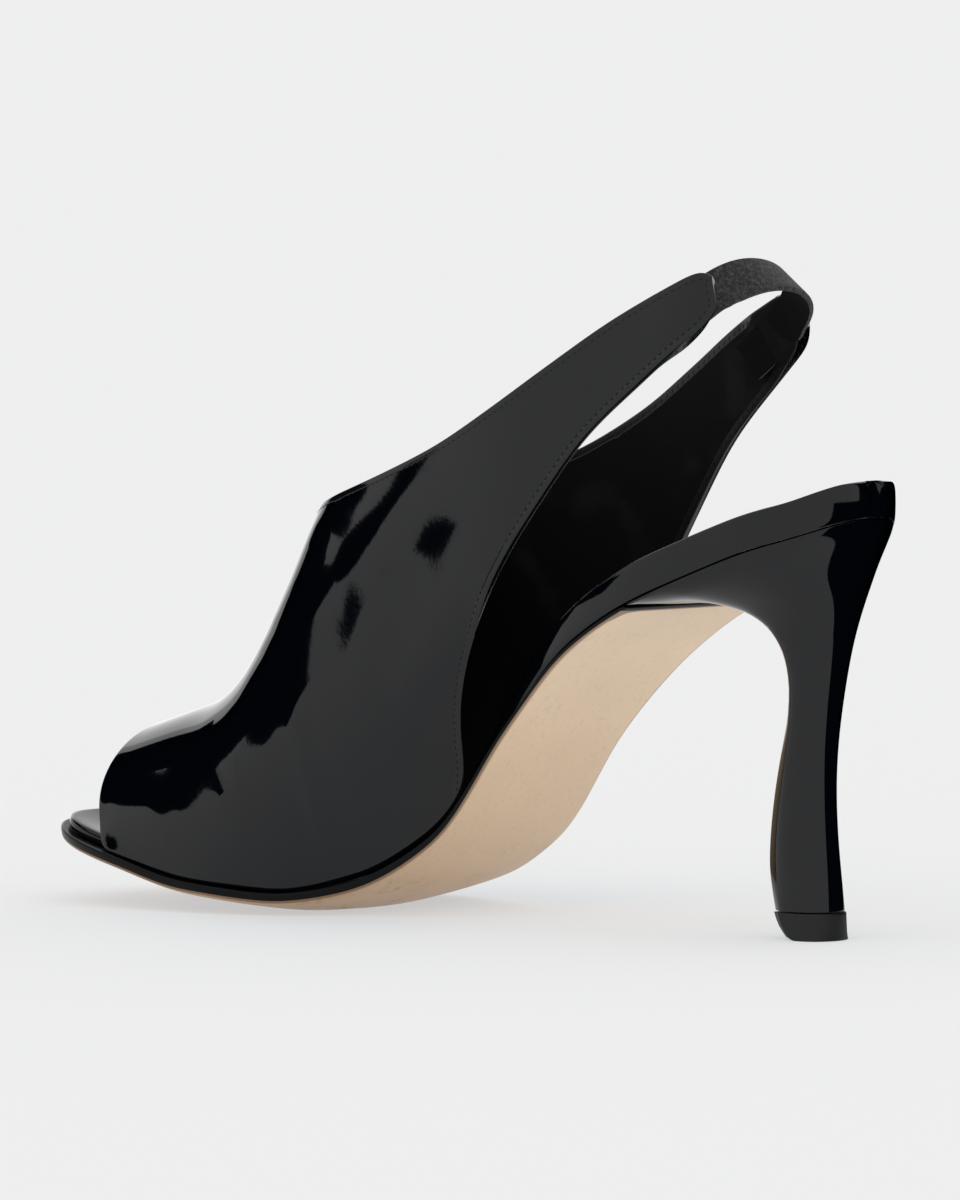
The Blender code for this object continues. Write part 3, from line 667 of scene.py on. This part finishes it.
def make_elastic_piece():
    """The strap, with a flat map of it for the weave: length along it and height across it."""
    bm = flat_copy("elastic_strap")
    ends = [f for f in bm.faces if f.calc_center_median().x > 0.0]
    lowest = min(ends, key=lambda f: f.calc_center_median().z + 0.02 * f.normal.z)
    ring = {v for f in bm.faces if f.normal.dot(lowest.normal) > 0.995
            and (f.calc_center_median() - lowest.calc_center_median()).length < 0.012
            for v in f.verts}
    level = {v: 0 for v in ring}
    wave = list(ring)
    while wave:
        following = []
        for vert in wave:
            for edge in vert.link_edges:
                other = edge.other_vert(vert)
                if other not in level:
                    level[other] = level[vert] + 1
                    following.append(other)
        wave = following
    rings = {}
    for vert, k in level.items():
        rings.setdefault(k, []).append(vert)
    centres = [sum((v.co for v in rings[k]), Vector()) / len(rings[k]) for k in sorted(rings)]
    flat = {}
    ups = []
    lengths = []
    length = 0.0
    for k, centre in enumerate(centres):
        if k:
            length += (centre - centres[k - 1]).length
        top = max(rings[k], key=lambda v: v.co.z).co
        ups.append((top - centre).normalized())
        lengths.append(length)
    for k, centre in enumerate(centres):
        run = centres[min(k + 1, len(centres) - 1)] - centres[max(k - 1, 0)]
        out = run.cross(ups[k]).normalized()
        if out.x * centre.x < 0.0:
            out = -out
        from_end = min(lengths[k], length - lengths[k])
        shift = ELASTIC_SHIFT * (1.0 - ease((from_end - ELASTIC_TUCKED) / ELASTIC_RUNOUT))
        for vert in rings[k]:
            flat[vert] = (lengths[k], (vert.co - centre).dot(ups[k]))
            vert.co += out * shift
    layer = bm.loops.layers.uv.new("weave")
    join_faces(bm)
    for face in bm.faces:
        for loop in face.loops:
            loop[layer].uv = flat[loop.vert]
        middle = face.calc_center_median()
        away = Vector((middle.x, middle.y - ELASTIC_MIDDLE_Y, 0.0))
        # faces turned towards the middle of the heel get the second material, a painted shade on
        # the inside of the strap
        face.material_index = 1 if face.normal.dot(away.normalized()) < -0.35 else 0
    round_off(bm, sharp_edges(bm, EDGE_BEND), ELASTIC_EDGE_ROUND)
    return show(bm, "elastic_woven", (ELASTIC, ELASTIC_PAINTED_SHADE),
                ("elastic_strap",))


def make_floor():
    bm = bmesh.new()
    bmesh.ops.create_circle(bm, cap_ends=True, segments=96, radius=30.0)
    mesh = bpy.data.meshes.new("floor")
    bm.to_mesh(mesh)
    bm.free()
    material, _, shader = new_material("floor_pale")
    own = [light * (1.0 - share) for light, share in zip(ROOM_LIGHT, FLOOR_SHADE)]
    shader.inputs["Base Color"].default_value = (*FLOOR_SHADE, 1.0)
    shader.inputs["Roughness"].default_value = 1.0
    shader.inputs["Specular IOR Level"].default_value = 0.0
    shader.inputs["Emission Color"].default_value = (*own, 1.0)
    shader.inputs["Emission Strength"].default_value = 1.0
    mesh.materials.append(material)
    floor = bpy.data.objects.new("floor", mesh)
    bpy.context.scene.collection.objects.link(floor)


def make_card(name, turn, distance, low, high, wide, roll=0.0, glow=0.0, about=CARD_CENTRE,
              aside=0.0):
    """Upright card that shows only in reflections: black, or bright when it glows.

    turn is its direction from the vamp in degrees, 0 straight ahead of the toe and 90 towards +X;
    aside moves it along itself.
    """
    bm = bmesh.new()
    bmesh.ops.create_grid(bm, x_segments=1, y_segments=1, size=0.5)
    mesh = bpy.data.meshes.new(name)
    bm.to_mesh(mesh)
    bm.free()
    material, _, shader = new_material(name)
    shader.inputs["Base Color"].default_value = (0.0, 0.0, 0.0, 1.0)
    shader.inputs["Roughness"].default_value = 1.0
    shader.inputs["Specular IOR Level"].default_value = 0.0
    shader.inputs["Emission Color"].default_value = (1.0, 1.0, 1.0, 1.0)
    shader.inputs["Emission Strength"].default_value = glow
    mesh.materials.append(material)
    card = bpy.data.objects.new(name, mesh)
    bpy.context.scene.collection.objects.link(card)
    angle = math.radians(turn)
    out = Vector((math.sin(angle), -math.cos(angle), 0.0))
    along = Vector((math.cos(angle), math.sin(angle), 0.0))
    card.location = Vector(about) + out * distance + along * aside
    card.location.z = 0.5 * (low + high)
    card.rotation_mode = "QUATERNION"
    face_in = (-out).to_track_quat("Z", "Y")
    card.rotation_quaternion = Quaternion(out, math.radians(roll)) @ face_in
    card.scale = (wide, high - low, 1.0)
    card.visible_camera = False
    card.visible_diffuse = False
    card.visible_transmission = False
    card.visible_volume_scatter = False
    card.visible_shadow = False
    return card


def make_room():
    world = bpy.data.worlds.new("room")
    bpy.context.scene.world = world
    world.use_nodes = True
    back = world.node_tree.nodes["Background"]
    back.inputs["Color"].default_value = (*ROOM_LIGHT, 1.0)
    back.inputs["Strength"].default_value = 1.0
    bpy.context.scene.view_settings.view_transform = "Standard"
    bpy.context.scene.view_settings.look = "None"


def make_camera():
    data = bpy.data.cameras.new("camera")
    camera = bpy.data.objects.new("camera", data)
    bpy.context.scene.collection.objects.link(camera)
    turn = math.radians(CAMERA_TURN)
    rise = math.radians(CAMERA_RISE)
    back = Vector((math.cos(turn) * math.cos(rise), math.sin(turn) * math.cos(rise),
                   math.sin(rise)))
    camera.location = AIM + back * CAMERA_DISTANCE
    camera.rotation_mode = "QUATERNION"
    camera.rotation_quaternion = back.to_track_quat("Z", "Y")
    data.sensor_width = SENSOR
    data.lens = FOCAL_LENGTH
    data.shift_x, data.shift_y = SHIFT
    data.clip_start = 0.05
    data.clip_end = 100.0
    bpy.context.scene.camera = camera


WAVES = make_waves_group()
WEAR = make_wear_group()
PATENT = make_patent("patent", border=True)
INSOLE = make_patent("insole_patent", waves_height=0.00012)
HEEL = make_patent("heel_patent", waves_height=0.00008, peel_height=0.000002)
LINING = make_lining()
EDGE_PAINT = make_plain("edge_paint", BLACK_FILM, 0.22)
RAW = make_plain("raw_edge", RAW_EDGE, 0.8, 0.2)
THREAD = make_plain("thread", THREAD_BLACK, 0.6, 0.32)
INK = make_plain("edge_ink", EDGE_INK, 0.30, 0.15, grain_size=0.002, grain_height=0.00004)
SOLE = make_sole_leather()
LIFT = make_plain("lift_rubber", RUBBER, 0.55, 0.4)
ELASTIC = make_elastic_material()
# painted shade for the inside of the elastic
ELASTIC_PAINTED_SHADE = make_plain("elastic_painted_shade", ELASTIC_SHADE_COLOR, 0.85, 0.1)

make_room()
make_camera()
make_floor()
make_card("card_band", 20.0, 0.300, 0.1335, 0.1845, 0.383, roll=-20.0, aside=-0.031)
make_card("card_toe", 20.0, 0.302, 0.106, 0.165, 0.290, aside=-0.045)
make_card("card_top", 20.0, 0.304, 0.150, 0.300, 0.190, aside=-0.135)
make_card("card_bright", 325.0, 0.50, 0.0, 0.30, 0.20, glow=1.35)
make_card("card_back", 250.0, 0.13, 0.0, 0.22, 0.28, about=HEEL_CENTRE)
make_card("card_leg", 200.0, 0.10, 0.0, 0.092, 0.120, about=HEEL_CENTRE)
make_outsole_piece()
make_insole_piece()
make_heel_piece()
make_lift_piece()
make_upper_piece()
make_elastic_piece()
